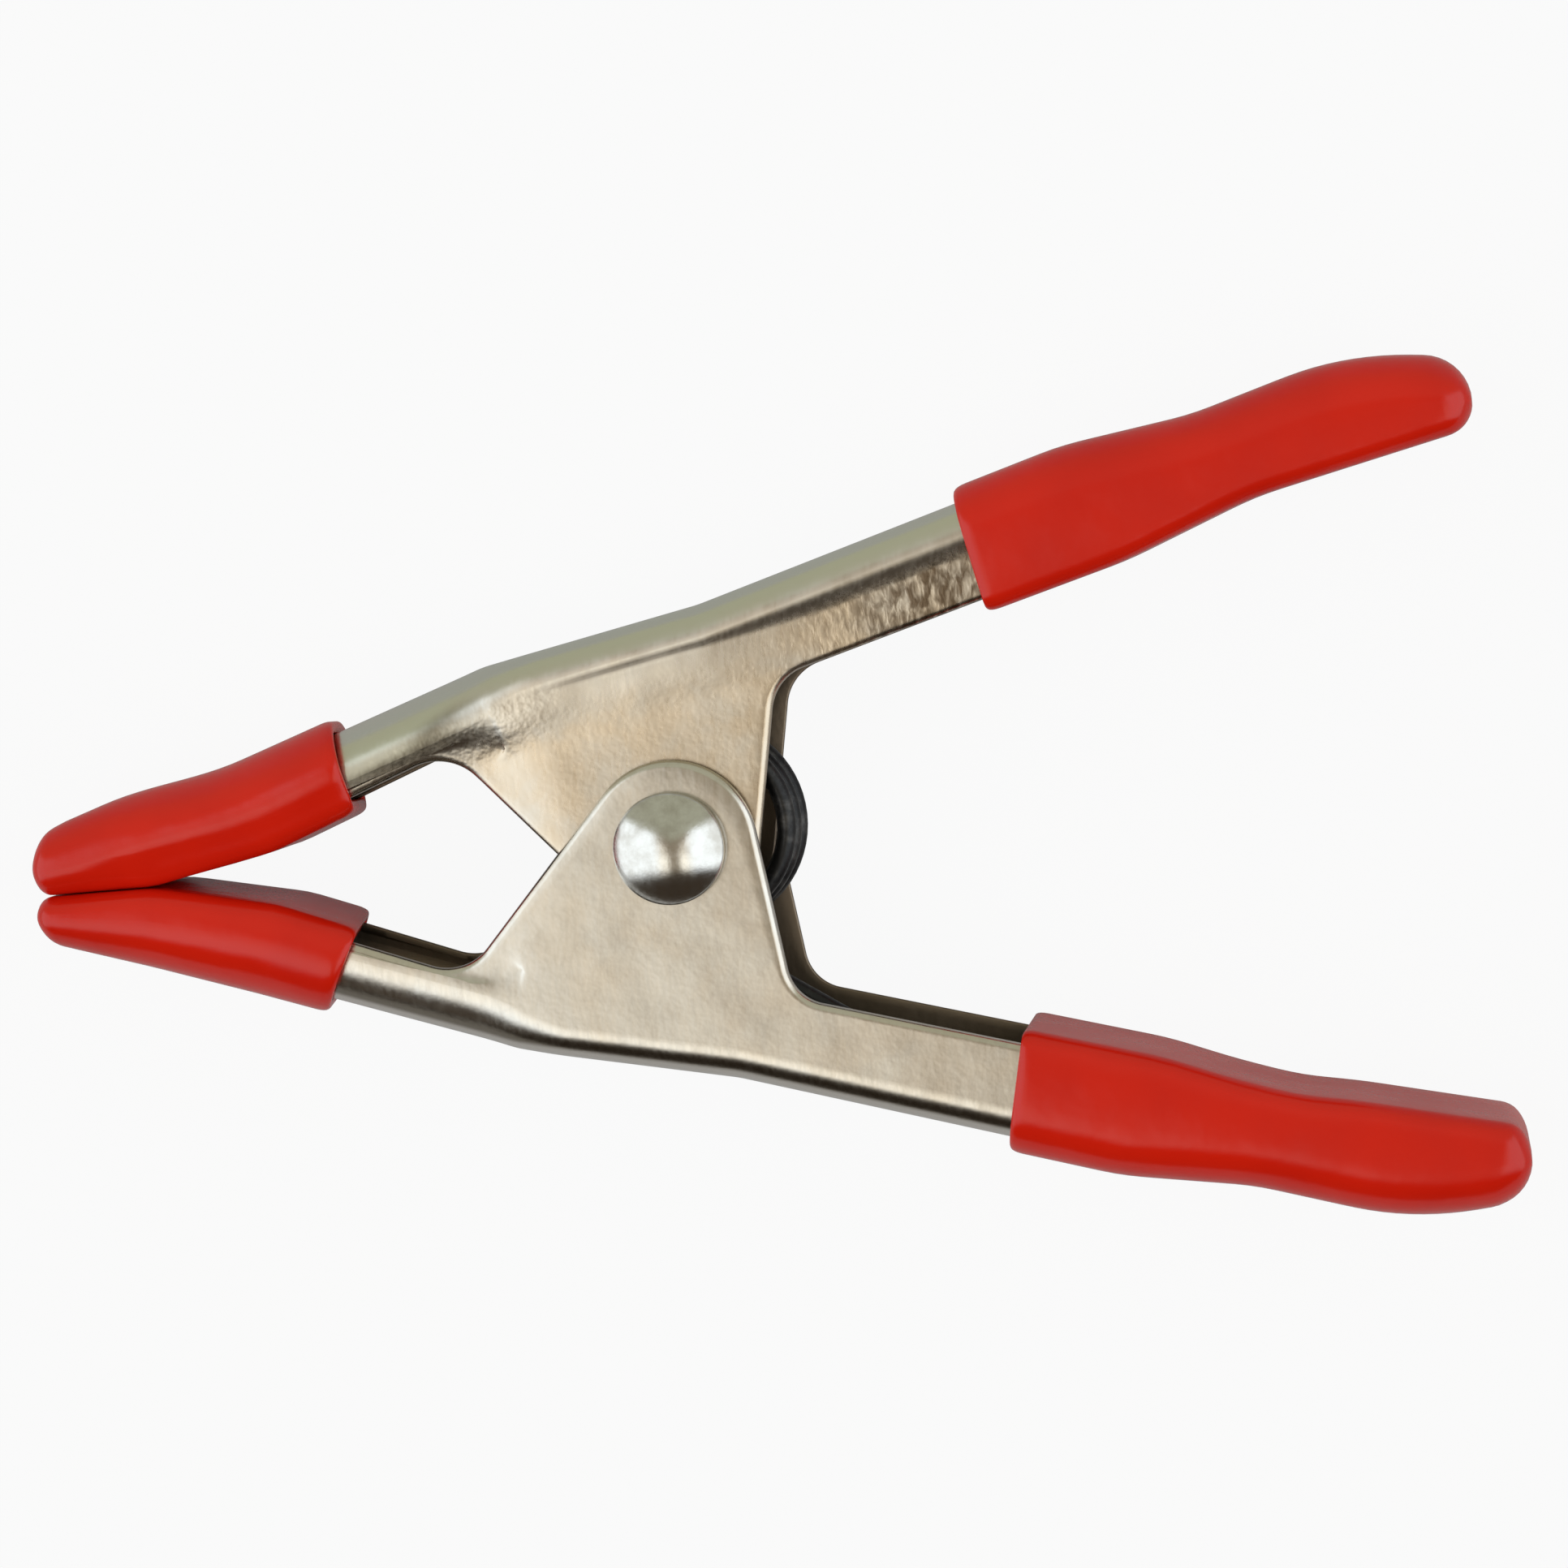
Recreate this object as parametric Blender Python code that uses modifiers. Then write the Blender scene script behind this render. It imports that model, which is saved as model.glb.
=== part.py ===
# A spring clamp: two pressed steel channel levers on a domed rivet, a torsion spring that
# shuts the jaws, and a soft vinyl sleeve on each jaw and each handle.
# Metres, +Z up. The clamp lies on its side: +X runs from the pivot to the handles, Y is
# across the jaws, and Z is the pivot's axis. The origin is on that axis, on the flat face
# of the rivet's tail, which the clamp rests on together with the sleeves.

import math

import bmesh
import bpy
import numpy as np
from mathutils import Vector

MM = 0.001

# The gap kept between pieces that touch or run on each other.
CLEARANCE = 0.3 * MM

# Pressed steel levers.
SHEET = 1.2 * MM
CHANNEL_WIDTH = 17.0 * MM
CORNER_RADIUS = 3.5 * MM

# Side view of one lever, from the pivot: x along the clamp, y from the middle to its back.
JAW_REACH = 70.4 * MM
HANDLE_REACH = 88.4 * MM
JAW_TIP_BACK_Y = 4.75 * MM
JAW_FACE_Y = 1.75 * MM
JAW_FACE_START_X = -60.5 * MM
JAW_FACE_RISE = (-46.5 * MM, 4.6 * MM)
NOTCH_CORNER = (-24.9 * MM, 12.4 * MM)
EAR_RADIUS = 9.8 * MM
EAR_SHOULDER = (12.15 * MM, 17.9 * MM)
SHOULDER = (-20.5 * MM, 21.8 * MM)
CROWN = (5.0 * MM, 26.8 * MM)
PALM_START = (47.5 * MM, 39.2 * MM)
PALM_WAIST = (62.0 * MM, 41.3 * MM)
PALM_SWELL = (79.0 * MM, 46.3 * MM)
FINGER_GROOVE_START = (52.3 * MM, 29.0 * MM)
FINGER_GROOVE_END = (67.2 * MM, 34.85 * MM)
HANDLE_TIP_BACK_Y = 45.3 * MM
HANDLE_TIP_EDGE_Y = 39.6 * MM

# Radii of that outline's corners.
SIDE_BEND_RADIUS = 14.0 * MM
EAR_FILLET = 4.5 * MM
NOTCH_FILLET = 3.5 * MM
HANDLE_TIP_RADIUS = 4.8 * MM
HANDLE_EDGE_RADIUS = 2.5 * MM
JAW_TIP_RADIUS = 2.0 * MM
JAW_EDGE_RADIUS = 0.4 * MM

# The upper lever's ears are pressed inward, to run inside the lower lever's.
JOGGLE_BELOW_BACK = 3.6 * MM
JOGGLE_RUN = 2.2 * MM
JOGGLE_JAW_X = -21.2 * MM
JOGGLE_HANDLE_X = 33.7 * MM
JOGGLE_CORNER_RADIUS = 3.0 * MM

# Vinyl sleeves. An open end is cut on a slant, from the lever's back to its edge, and a jaw
# sleeve reaches less far on the side of the rivet's tail.
VINYL_WALL = 1.4 * MM
VINYL_TIP_WALL = 3.6 * MM
UPPER_JAW_SLEEVE_BACK_X = -37.6 * MM
UPPER_JAW_SLEEVE_EDGE_X = -36.2 * MM
LOWER_JAW_SLEEVE_BACK_X = -40.8 * MM
LOWER_JAW_SLEEVE_EDGE_X = -37.4 * MM
JAW_SLEEVE_SLANT = 2.4 * MM
GRIP_BACK_X = 35.1 * MM
GRIP_EDGE_X = 37.4 * MM
SLEEVE_EDGE_RADIUS = 1.9 * MM
SLEEVE_TIP_RADIUS = 3.0 * MM

# The largest shares of a sleeve's height that the corners at its edge and its back may take.
EDGE_CORNER_SHARE = 0.36
BACK_CORNER_SHARE = 0.62

# Pivot rivet.
SHANK_RADIUS = 3.25 * MM
DOME_RADIUS = 6.3 * MM
DOME_HEIGHT = 3.8 * MM
TAIL_RADIUS = 5.0 * MM
TAIL_CHAMFER = 0.5 * MM

# Torsion spring.
WIRE = 2.2 * MM
COIL_RADIUS = 10.9 * MM
COIL_CENTRE = (2.2 * MM, 1.7 * MM)
LEG_REACH_X = 36.0 * MM
LEAST_TURN_GAP = 0.42 * MM
POINTS_PER_TURN = 10

# How finely round shapes are drawn.
ARC_STEP = math.radians(18)
CORNER_STEPS = 4
SLEEVE_CORNER_STEPS = 3
SECTION_SPACING = 4.0 * MM
TIP_SECTIONS = 4
DOME_STEPS = 7
TURNED_STEPS = 36
GAP_STEPS = 8
SHARPEST_SMOOTH = math.radians(35)

# Worked out from the sizes above. Depths are measured from the clamp's middle plane.
half_width = CHANNEL_WIDTH / 2
inner_half = half_width - SHEET
joggle_depth = SHEET + CLEARANCE
ear_outer_half = half_width - joggle_depth
ear_inner_half = ear_outer_half - SHEET
sleeve_grow = CLEARANCE + VINYL_WALL
sleeve_half = half_width + sleeve_grow
middle_z = sleeve_half
coil_half = ear_inner_half - CLEARANCE - WIRE / 2

# How far a cutter runs past what it cuts, how far a blank stands proud of what cuts it, and
# the same for a face that runs along another. Points nearer than weld are one.
beyond = 10 * MM
proud = 1 * MM
skim = 0.05 * MM
weld = 0.001 * MM
ear_floor = -(EAR_RADIUS + beyond)

# The most of an edge that the arcs at its two ends may take.
arc_room = 0.98


def clear_scene():
    for obj in list(bpy.data.objects):
        bpy.data.objects.remove(obj, do_unlink=True)


def new_collection(name):
    collection = bpy.data.collections.new(name)
    bpy.context.scene.collection.children.link(collection)
    return collection


def new_material(name, colour, roughness, metallic):
    material = bpy.data.materials.new(name)
    material.use_nodes = True
    shader = material.node_tree.nodes["Principled BSDF"]
    shader.inputs["Base Color"].default_value = (*colour, 1)
    shader.inputs["Roughness"].default_value = roughness
    shader.inputs["Metallic"].default_value = metallic
    return material


# ---- Outlines in the side view: lists of corners, each (x, y, radius) ----


def height_at(a, b, x):
    """The height at x of the line through two points."""
    return a[1] + (b[1] - a[1]) * (x - a[0]) / (b[0] - a[0])


def mirrored(points, side):
    """The lever's own side of the clamp: as it is for the upper one, turned over for the lower."""
    return [(x, y * side) for x, y in points]


def moved_line(start, end, distance):
    """The line through two points, moved to its left: a point on it, and its direction."""
    along = np.subtract(end, start) / math.dist(start, end)
    return np.add(start, distance * np.array([-along[1], along[0]])), along


def crossing(first, second):
    """Where two such lines cross, or the second one's point if they run on in one line."""
    (p, along_p), (q, along_q) = first, second
    turn = along_p[0] * along_q[1] - along_p[1] * along_q[0]
    if abs(turn) < 1e-6:
        return q
    gap = q - p
    return p + along_p * (gap[0] * along_q[1] - gap[1] * along_q[0]) / turn


def grown(corners, distances):
    """A closed outline whose edge i, from corner i to the next, moves out by distances[i].
    The arcs of its corners stay concentric."""
    count = len(corners)
    ends = list(zip(corners, corners[1:] + corners[:1]))
    clockwise = math.copysign(1, sum((b[0] - a[0]) * (b[1] + a[1]) for a, b in ends))
    lines = [moved_line(a[:2], b[:2], clockwise * move) for (a, b), move in zip(ends, distances)]
    result = []
    for i, corner in enumerate(corners):
        before, after = lines[i - 1], lines[i]
        turn = before[1][0] * after[1][1] - before[1][1] * after[1][0]
        move = min(distances[i - 1], distances[i])
        radius = corner[2] + (move if turn * clockwise < 0 else -move) if corner[2] else 0
        result.append((*crossing(before, after), max(radius, 0)))
    return result


def corner_arcs(corners, closed):
    """Each corner's points: an arc of its radius, or of less where two arcs would meet."""
    count = len(corners)
    turns, tangents, rooms = [], [], [1.0] * count
    for i, (x, y, radius) in enumerate(corners):
        back = np.subtract(corners[i - 1][:2], (x, y))
        ahead = np.subtract(corners[(i + 1) % count][:2], (x, y))
        cosine = back @ ahead / (np.hypot(*back) * np.hypot(*ahead))
        is_end = not closed and i in (0, count - 1)
        turns.append(0 if is_end else math.pi - math.acos(np.clip(cosine, -1, 1)))
        tangents.append(radius * math.tan(turns[i] / 2))
    for i in range(count):
        other = (i + 1) % count
        length = math.dist(corners[i][:2], corners[other][:2])
        room = arc_room * length / max(tangents[i] + tangents[other], weld)
        rooms[i] = min(rooms[i], room)
        rooms[other] = min(rooms[other], room)
    arcs = []
    for i, (x, y, radius) in enumerate(corners):
        here = np.array((x, y))
        tangent = tangents[i] * rooms[i]
        if tangent < weld:
            arcs.append([(float(x), float(y))])
            continue
        back = np.subtract(corners[i - 1][:2], here)
        ahead = np.subtract(corners[(i + 1) % count][:2], here)
        inward = back / np.hypot(*back) + ahead / np.hypot(*ahead)
        centre = here + inward / np.hypot(*inward) * tangent / math.sin(turns[i] / 2)
        spoke = here + back / np.hypot(*back) * tangent - centre
        steps = max(2, math.ceil(turns[i] / ARC_STEP))
        spin = math.copysign(turns[i] / steps, back[1] * ahead[0] - back[0] * ahead[1])
        arc = []
        for step in range(steps + 1):
            c, s = math.cos(spin * step), math.sin(spin * step)
            x_out, y_out = centre + (c * spoke[0] - s * spoke[1], s * spoke[0] + c * spoke[1])
            arc.append((float(x_out), float(y_out)))
        arcs.append(arc)
    return arcs


def rounded(corners, closed=True):
    return [point for arc in corner_arcs(corners, closed) for point in arc]


jaw_tip_back = (-JAW_REACH, JAW_TIP_BACK_Y)
handle_tip_back = (HANDLE_REACH, HANDLE_TIP_BACK_Y)
back_bends = [
    (*SHOULDER, SIDE_BEND_RADIUS),
    (*CROWN, SIDE_BEND_RADIUS),
    (*PALM_START, SIDE_BEND_RADIUS),
    (*PALM_WAIST, SIDE_BEND_RADIUS),
    (*PALM_SWELL, SIDE_BEND_RADIUS),
]
jaw_corners = [
    (*JAW_FACE_RISE, SIDE_BEND_RADIUS),
    (JAW_FACE_START_X, JAW_FACE_Y, SIDE_BEND_RADIUS),
    (-JAW_REACH, JAW_FACE_Y, JAW_EDGE_RADIUS),
    (*jaw_tip_back, JAW_TIP_RADIUS),
]
handle_corners = [
    (*handle_tip_back, HANDLE_TIP_RADIUS),
    (HANDLE_REACH, HANDLE_TIP_EDGE_Y, HANDLE_EDGE_RADIUS),
    (*FINGER_GROOVE_END, SIDE_BEND_RADIUS),
    (*FINGER_GROOVE_START, SIDE_BEND_RADIUS),
]


def back_path(inset):
    """The lever's back, moved in by inset and run on straight past both tips."""
    first_x = -JAW_REACH - beyond
    last_x = HANDLE_REACH + beyond
    first = (first_x, height_at(jaw_tip_back, SHOULDER, first_x), 0)
    last = (last_x, height_at(PALM_SWELL, handle_tip_back, last_x), 0)
    corners = [first, *back_bends, last, (last_x, ear_floor, 0), (first_x, ear_floor, 0)]
    distances = [-inset] * (len(back_bends) + 1) + [0, 0, 0]
    return rounded(grown(corners, distances)[: len(back_bends) + 2], closed=False)


def ear_tangent(corner, turn):
    """The direction, from the pivot, of the point where a line from the corner touches the
    ear's circle: turn is 1 for the touch that lies anticlockwise of the corner, -1 for the other."""
    return math.atan2(corner[1], corner[0]) + turn * math.acos(EAR_RADIUS / math.hypot(*corner))


def lever_outline():
    """The side outline of one lever. Its back stands proud by a hair, for the channel's own
    back to cut."""
    start = ear_tangent(EAR_SHOULDER, -1)
    end = ear_tangent(NOTCH_CORNER, 1) - 2 * math.pi
    angles = np.linspace(start, end, math.ceil((start - end) / ARC_STEP) + 1)
    ear = [(EAR_RADIUS * math.cos(angle), EAR_RADIUS * math.sin(angle), 0) for angle in angles]
    corners = [jaw_corners[-1], *back_bends, *handle_corners, (*EAR_SHOULDER, EAR_FILLET)]
    corners += [*ear, (*NOTCH_CORNER, NOTCH_FILLET), *jaw_corners[:-1]]
    back_edges = len(back_bends) + 1
    distances = [skim] * back_edges + [0] * (len(corners) - back_edges)
    return rounded(grown(corners, distances))


def joggle_outline(inward):
    """The pressed-in field of a joggled side, moved in from its rim by inward."""
    low = ear_floor - beyond
    radius = JOGGLE_CORNER_RADIUS + JOGGLE_RUN - inward
    top = -(JOGGLE_BELOW_BACK + inward)
    corners = grown(
        [
            (JOGGLE_JAW_X, height_at(SHOULDER, CROWN, JOGGLE_JAW_X), 0),
            (*CROWN, 0),
            (JOGGLE_HANDLE_X, height_at(CROWN, PALM_START, JOGGLE_HANDLE_X), 0),
            (JOGGLE_HANDLE_X, low, 0),
            (JOGGLE_JAW_X, low, 0),
        ],
        [top, top, -inward, 0, -inward],
    )
    radii = [radius, SIDE_BEND_RADIUS, radius, 0, 0]
    return rounded([(x, y, r) for (x, y, _), r in zip(corners, radii)])


def jaw_sleeve_corners(back_x, edge_x):
    return [
        (back_x, height_at(jaw_tip_back, SHOULDER, back_x), 0),
        *jaw_corners[::-1],
        (edge_x, height_at(NOTCH_CORNER, JAW_FACE_RISE, edge_x), 0),
    ]


def grip_corners(back_x, edge_x):
    return [
        (back_x, height_at(CROWN, PALM_START, back_x), 0),
        *back_bends[2:],
        *handle_corners,
        (edge_x, height_at(EAR_SHOULDER, FINGER_GROOVE_START, edge_x), 0),
    ]


# ---- Solids ----


def link(obj, collection, depth=0):
    collection.objects.link(obj)
    obj.location = (0, 0, depth)
    return obj


def mesh_object(name, bm, collection):
    """An object from the mesh, with its own origin on the pivot's axis in the middle plane."""
    bmesh.ops.recalc_face_normals(bm, faces=bm.faces)
    mesh = bpy.data.meshes.new(name)
    bm.to_mesh(mesh)
    bm.free()
    return link(bpy.data.objects.new(name, mesh), collection, middle_z)


def welded_mesh(guide):
    """The guide curve's mesh, its caps welded on and made single faces; the curve goes."""
    graph = bpy.context.evaluated_depsgraph_get()
    made = bpy.data.meshes.new_from_object(guide.evaluated_get(graph))
    bm = bmesh.new()
    bm.from_mesh(made)
    bpy.data.meshes.remove(made)
    bpy.data.objects.remove(guide)
    bmesh.ops.remove_doubles(bm, verts=bm.verts, dist=weld)
    flat = [
        edge for edge in bm.edges
        if len(edge.link_faces) == 2 and all(abs(face.normal.z) > 0.9 for face in edge.link_faces)
    ]
    bmesh.ops.dissolve_edges(bm, edges=flat, use_verts=False)
    return bm


def slab(name, outline, low, high, collection, top_outline=None):
    """A flat outline with a thickness, between two depths. With a second outline, of as many
    points, its top takes that shape and its sides slope."""
    curve = bpy.data.curves.new(name, "CURVE")
    curve.dimensions = "2D"
    curve.fill_mode = "BOTH"
    curve.extrude = (high - low) / 2
    spline = curve.splines.new("POLY")
    spline.points.add(len(outline) - 1)
    for point, (x, y) in zip(spline.points, outline):
        point.co = (x, y, 0, 1)
    spline.use_cyclic_u = True
    bm = welded_mesh(link(bpy.data.objects.new(name, curve), collection))
    for vert in bm.verts:
        if top_outline and vert.co.z > 0:
            spans = [(vert.co.xy - Vector(point)).length for point in outline]
            vert.co.xy = top_outline[spans.index(min(spans))]
        vert.co.z += (high + low) / 2
    return mesh_object(name, bm, collection)


def round_corners(bar, path, radius):
    """Bevels the two long edges of a slab that follow the path."""
    bends = {(round(x, 6), round(y, 6)) for x, y in path}
    weights = bar.data.attributes.new("bevel_weight_edge", "FLOAT", "EDGE")
    for edge in bar.data.edges:
        first, second = [bar.data.vertices[i].co for i in edge.vertices]
        on_path = all((round(end.x, 6), round(end.y, 6)) in bends for end in (first, second))
        is_long = abs(first.z - second.z) < skim
        weights.data[edge.index].value = 1.0 if on_path and is_long else 0.0
    bevel = bar.modifiers.new("Corners", "BEVEL")
    bevel.limit_method = "WEIGHT"
    bevel.width = radius
    bevel.segments = CORNER_STEPS
    bevel.use_clamp_overlap = False


def channel_bar(name, side, inset, half, radius, collection):
    """A bar as deep as 2 * half, under the lever's back moved in by inset, with a rounded
    corner along each side of the back."""
    path = mirrored(back_path(inset), side)
    floor = ear_floor * side
    bar = slab(name, path + [(path[-1][0], floor), (path[0][0], floor)], -half, half, collection)
    round_corners(bar, path, radius)
    return bar


def joggle_wedge(name, side, facing, floor_half, reach, collection):
    """The space outside the pressed-in field, on the side that faces +Z or -Z: from the
    field's floor out, past its rim, by reach. Its walls slope out over the joggle's depth."""
    floor = mirrored(joggle_outline(JOGGLE_RUN), side)
    rim = mirrored(joggle_outline(JOGGLE_RUN * (1 - reach / joggle_depth)), side)
    if facing > 0:
        return slab(name, floor, floor_half, floor_half + reach, collection, rim)
    return slab(name, rim, -floor_half - reach, -floor_half, collection, floor)


def boolean(obj, operation, other):
    modifier = obj.modifiers.new(other.name, "BOOLEAN")
    modifier.operation = operation
    modifier.object = other
    modifier.solver = "EXACT"


def pivot_hole(name, collection):
    bm = bmesh.new()
    radius = SHANK_RADIUS + CLEARANCE
    depth = CHANNEL_WIDTH + beyond
    bmesh.ops.create_cone(
        bm, cap_ends=True, segments=TURNED_STEPS, radius1=radius, radius2=radius, depth=depth
    )
    return mesh_object(name, bm, collection)


def smooth(obj, material):
    obj.data.materials.append(material)
    obj.data.shade_smooth()
    obj.data.set_sharp_from_angle(angle=SHARPEST_SMOOTH)


def add_lever(name, side, joggled, material):
    """A channel whose outline is cut from a round-cornered bar, hollow on its open side."""
    blank = half_width + proud
    body = slab(name, mirrored(lever_outline(), side), -blank, blank, parts)
    back = channel_bar(name + "_back", side, 0, half_width, CORNER_RADIUS, cutters)
    hollow_radius = max(CORNER_RADIUS - SHEET, CLEARANCE)
    hollow = channel_bar(name + "_hollow", side, SHEET, inner_half, hollow_radius, cutters)
    boolean(body, "INTERSECT", back)
    for facing in (1, -1) if joggled else ():
        label = f"{name}_{'top' if facing > 0 else 'bottom'}"
        reach = joggle_depth + 2 * proud
        wall = joggle_wedge(label + "_wall", side, facing, ear_inner_half, reach, cutters)
        boolean(hollow, "DIFFERENCE", wall)
        field = joggle_wedge(label + "_field", side, facing, ear_outer_half, reach, cutters)
        boolean(body, "DIFFERENCE", field)
    boolean(body, "DIFFERENCE", hollow)
    boolean(body, "DIFFERENCE", pivot_hole(name + "_hole", cutters))
    smooth(body, material)
    return body


def walk(points, fraction):
    """The place that far along a path, by length."""
    steps = [math.dist(a, b) for a, b in zip(points, points[1:])]
    lengths = np.concatenate([[0], np.cumsum(steps)])
    return [float(np.interp(fraction * lengths[-1], lengths, part)) for part in zip(*points)]


def section_ring(edge, back, place, half, low_round, high_round, slant=0.0):
    """A rounded rectangle that stands between two paths of the side view, from the lever's
    open side up to its back. Its points lie as far along both paths as place, and with a slant
    farther along on the side that faces -Z, in a share that runs out at the paths' ends."""
    ring = []
    corners = [(high_round, 1), (high_round, -1), (low_round, -1), (low_round, 1)]
    for quarter, (full, facing) in enumerate(corners):
        is_back = quarter < 2
        share = BACK_CORNER_SHARE if is_back else EDGE_CORNER_SHARE
        radius = min(full, share * math.dist(walk(edge, place), walk(back, place)))
        for step in range(SLEEVE_CORNER_STEPS + 1):
            angle = math.pi / 2 * (quarter + step / SLEEVE_CORNER_STEPS)
            depth = facing * (half - radius) + radius * math.cos(angle)
            along = place + slant * (1 - place) * (1 - depth / half) / 2
            low, high = walk(edge, along), walk(back, along)
            height = math.dist(low, high)
            rise = (height - radius if is_back else radius) + radius * math.sin(angle)
            x, y = np.array(low) + np.subtract(high, low) * rise / height
            ring.append((x, y, depth))
    return ring


def closed_tube(corners, tip, half, low_round, high_round, tip_round, slant):
    """The sections of a tube with one closed end. The corners run from the open end along the
    back, round the tip at corners tip and tip + 1, and home along the edge; each section
    joins a point of the back to the point as far along the edge."""
    arcs = corner_arcs(corners, closed=False)
    back = [point for arc in arcs[:tip] for point in arc] + arcs[tip][:1]
    edge = [point for arc in arcs[:tip + 1:-1] for point in reversed(arc)] + arcs[tip + 1][-1:]
    length = math.dist(back[0], back[-1])
    sections = math.ceil(length / SECTION_SPACING)
    rings = [
        section_ring(edge, back, i / sections, half, low_round, high_round, slant / length)
        for i in range(sections)
    ]
    for i in range(TIP_SECTIONS + 1):
        share = i / TIP_SECTIONS
        narrow = half - tip_round * (1 - math.cos(share * math.pi / 2))
        corner = high_round if i == 0 or tip_round else low_round
        tip_arcs = arcs[tip + 1][::-1], arcs[tip]
        rings.append(section_ring(*tip_arcs, share, narrow, low_round, corner))
    return rings


def add_sleeve(name, side, corners, tip, slant, material):
    """A vinyl sleeve over one end of a lever: one skin outside and one round the steel, both
    closed at the tip and joined at the open end. The corners run from the open end along the
    back, round the tip at corners tip and tip + 1, and home along the edge."""
    skins = []
    for grow, tip_grow, low_round, tip_round in (
        (sleeve_grow, CLEARANCE + VINYL_TIP_WALL, SLEEVE_EDGE_RADIUS, SLEEVE_TIP_RADIUS),
        (CLEARANCE, CLEARANCE, CLEARANCE, 0),
    ):
        distances = [grow] * (len(corners) - 1) + [0]
        distances[tip] = tip_grow
        outline = grown(corners, distances)
        rounds = low_round, CORNER_RADIUS + grow, tip_round
        skins.append(closed_tube(outline, tip, half_width + grow, *rounds, slant))
    bm = bmesh.new()
    rings = [
        [bm.verts.new((x, y * side, z)) for x, y, z in ring] for ring in skins[0][::-1] + skins[1]
    ]
    for ring, following in zip(rings, rings[1:]):
        for i in range(len(ring)):
            bm.faces.new((ring[i - 1], ring[i], following[i], following[i - 1]))
    bm.faces.new(rings[0])
    bm.faces.new(rings[-1])
    sleeve = mesh_object(name, bm, parts)
    smooth(sleeve, material)
    return sleeve


def add_rivet(name, material):
    """The domed rivet, turned: head, shank through all four ears, and a flat upset tail."""
    seat = half_width + CLEARANCE
    sphere = (DOME_RADIUS**2 + DOME_HEIGHT**2) / (2 * DOME_HEIGHT)
    angles = np.linspace(0, math.asin(DOME_RADIUS / sphere), DOME_STEPS + 1)
    top = seat + DOME_HEIGHT
    profile = [(sphere * math.sin(a), top - sphere * (1 - math.cos(a))) for a in angles]
    profile += [
        (SHANK_RADIUS, seat),
        (SHANK_RADIUS, -seat),
        (TAIL_RADIUS, -seat),
        (TAIL_RADIUS, -sleeve_half + TAIL_CHAMFER),
        (TAIL_RADIUS - TAIL_CHAMFER, -sleeve_half),
        (0, -sleeve_half),
    ]
    mesh = bpy.data.meshes.new(name)
    edges = [(i, i + 1) for i in range(len(profile) - 1)]
    mesh.from_pydata([(radius, 0, depth) for radius, depth in profile], edges, [])
    rivet = link(bpy.data.objects.new(name, mesh), parts, middle_z)
    mesh.materials.append(material)
    screw = rivet.modifiers.new("Turned", "SCREW")
    screw.steps = screw.render_steps = TURNED_STEPS
    screw.use_merge_vertices = True
    screw.merge_threshold = weld
    return rivet


def leg_end(side):
    """Where the spring's leg ends, its wire against the inside of a lever's back."""
    xs, ys = zip(*back_path(SHEET))
    height = float(np.interp(LEG_REACH_X, xs, ys))
    slope = math.atan2(float(np.interp(LEG_REACH_X + MM, xs, ys)) - height, MM)
    return LEG_REACH_X, side * (height - (WIRE / 2 + CLEARANCE) / math.cos(slope))


def coil_touch(end, turn):
    """The direction, from the coil's centre, of the point where a leg's line leaves the coil."""
    x, y = end[0] - COIL_CENTRE[0], end[1] - COIL_CENTRE[1]
    return math.atan2(y, x) + turn * math.acos(COIL_RADIUS / math.hypot(x, y))


def least_turn_gap(points):
    """The least gap of the wire to itself, between places more than half a turn apart."""
    spans = [points[i:i + 2] for i in range(len(points) - 1)]
    fine = np.array([walk(span, j / GAP_STEPS) for span in spans for j in range(GAP_STEPS)])
    apart = POINTS_PER_TURN * GAP_STEPS // 2
    gaps = [
        np.linalg.norm(fine[i + apart:] - fine[i], axis=1).min() for i in range(len(fine) - apart)
    ]
    return min(gaps) - WIRE


def add_spring(name, material):
    """A leg from the lower lever, as many whole turns as fit between the ears, clockwise and
    downward, and a leg to the upper lever."""
    lower_end, upper_end = leg_end(-1), leg_end(1)
    start = coil_touch(lower_end, -1)
    end = coil_touch(upper_end, 1)
    part_turn = ((start - end) / (2 * math.pi)) % 1
    room = 2 * coil_half
    turns = max(0, math.floor(room / (WIRE + LEAST_TURN_GAP) - part_turn)) + part_turn
    steps = math.ceil(turns * POINTS_PER_TURN)
    points = [(*lower_end, coil_half)]
    for i in range(steps + 1):
        angle = start - 2 * math.pi * turns * i / steps
        x = COIL_CENTRE[0] + COIL_RADIUS * math.cos(angle)
        y = COIL_CENTRE[1] + COIL_RADIUS * math.sin(angle)
        points.append((x, y, coil_half - room * i / steps))
    points.append((*upper_end, -coil_half))
    curve = bpy.data.curves.new(name, "CURVE")
    curve.dimensions = "3D"
    curve.bevel_depth = WIRE / 2
    curve.bevel_resolution = 1
    curve.use_fill_caps = True
    spline = curve.splines.new("POLY")
    spline.points.add(len(points) - 1)
    for point, place in zip(spline.points, points):
        point.co = (*place, 1)
    curve.materials.append(material)
    print(f"spring: {turns:.2f} turns, least gap to itself {least_turn_gap(points) / MM:.2f} mm")
    return link(bpy.data.objects.new(name, curve), parts, middle_z)


clear_scene()
parts = new_collection("spring_clamp")
cutters = new_collection("cutters")

steel = new_material("Nickel plated steel", (0.56, 0.53, 0.46), 0.32, 1.0)
bright_steel = new_material("Polished steel", (0.62, 0.62, 0.60), 0.12, 1.0)
black_wire = new_material("Black oxide wire", (0.02, 0.02, 0.021), 0.4, 0.6)
red_vinyl = new_material("Red vinyl", (0.55, 0.025, 0.012), 0.28, 0.0)

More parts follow.
